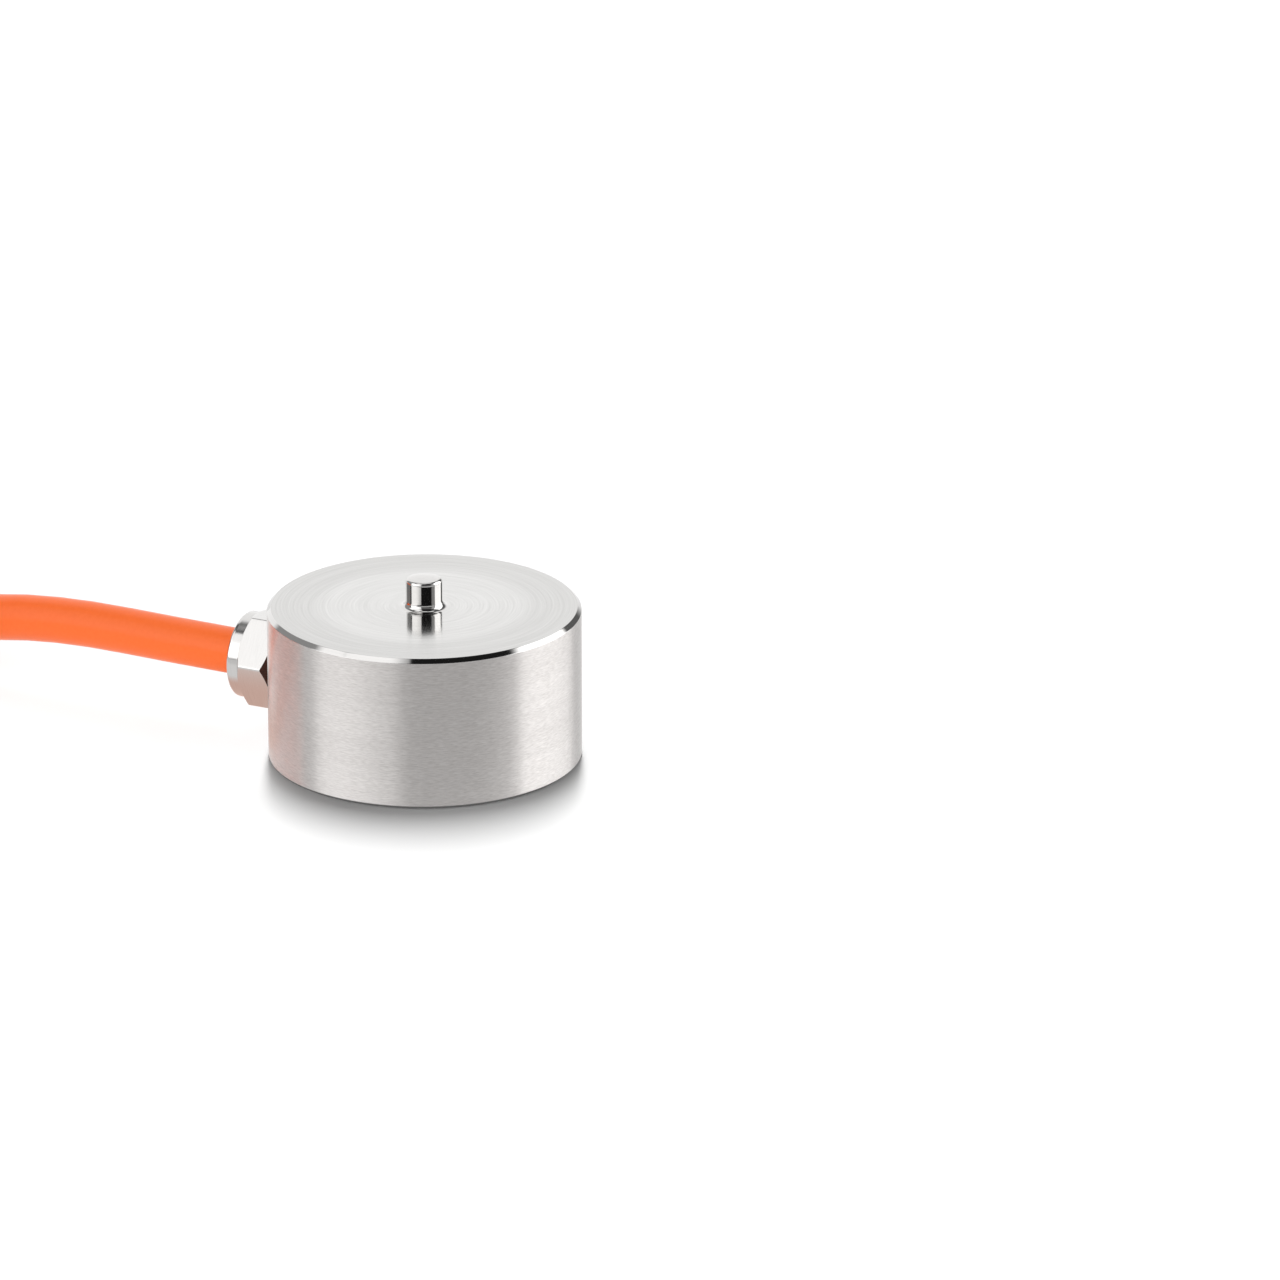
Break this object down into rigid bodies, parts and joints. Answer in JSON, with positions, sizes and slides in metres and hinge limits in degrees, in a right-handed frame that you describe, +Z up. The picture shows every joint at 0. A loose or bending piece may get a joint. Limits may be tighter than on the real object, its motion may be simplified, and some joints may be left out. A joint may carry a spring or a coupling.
{
  "type": "weighing load cell",
  "caption": "Small round steel compression load cell with a domed load button on top, tapped holes in its base, and an orange cable from a hex gland in its side.",
  "frame": {"origin": "on the load axis, in the plane of the base", "axes": "+Z up along the load axis to the button, -X along the cable gland"},
  "size_m": [0.0945, 0.0396, 0.0178],
  "materials": {
    "stainless_steel": "fine turned, button and chamfer polished",
    "nickel_plate": "bright nickel plate on brass",
    "plain_brass": "bare",
    "bush_rubber": "moulded",
    "orange_jacket": "extruded jacket, satin",
    "shrink_sleeve": "shrunk on, satin",
    "tie_plastic": "plastic-covered wire",
    "insulation_white": "extruded",
    "insulation_green": "extruded",
    "insulation_black": "extruded",
    "insulation_red": "extruded",
    "tin_solder": "tinned",
    "gauge_film": "etched foil on polyimide film",
    "circuit_board": "solder mask on glass laminate",
    "chip_resistor": "ceramic chip with tinned ends",
    "enamelled_copper": "enamelled"
  },
  "bodies": {
    "root": {"cell_body": "stainless_steel", "base_cover": "stainless_steel", "strain_gauge_1": "gauge_film", "strain_gauge_2": "gauge_film", "strain_gauge_3": "gauge_film", "strain_gauge_4": "gauge_film", "terminal_board": "circuit_board", "zero_trim_resistor": "chip_resistor", "span_trim_resistor": "chip_resistor", "thermal_trim_resistor": "chip_resistor", "gauge_wires": "enamelled_copper", "solder_joints": "tin_solder", "core_white": "insulation_white", "core_green": "insulation_green", "core_black": "insulation_black", "core_red": "insulation_red", "cable_gland": "nickel_plate", "thrust_washer": "plain_brass", "gland_bush": "bush_rubber", "signal_cable": "orange_jacket", "cable_coil": "orange_jacket", "coil_tie": "tie_plastic", "end_sleeve": "shrink_sleeve", "lead_white": "insulation_white", "lead_green": "insulation_green", "lead_black": "insulation_black", "lead_red": "insulation_red", "lead_tips": "tin_solder"}
  },
  "joints": []
}
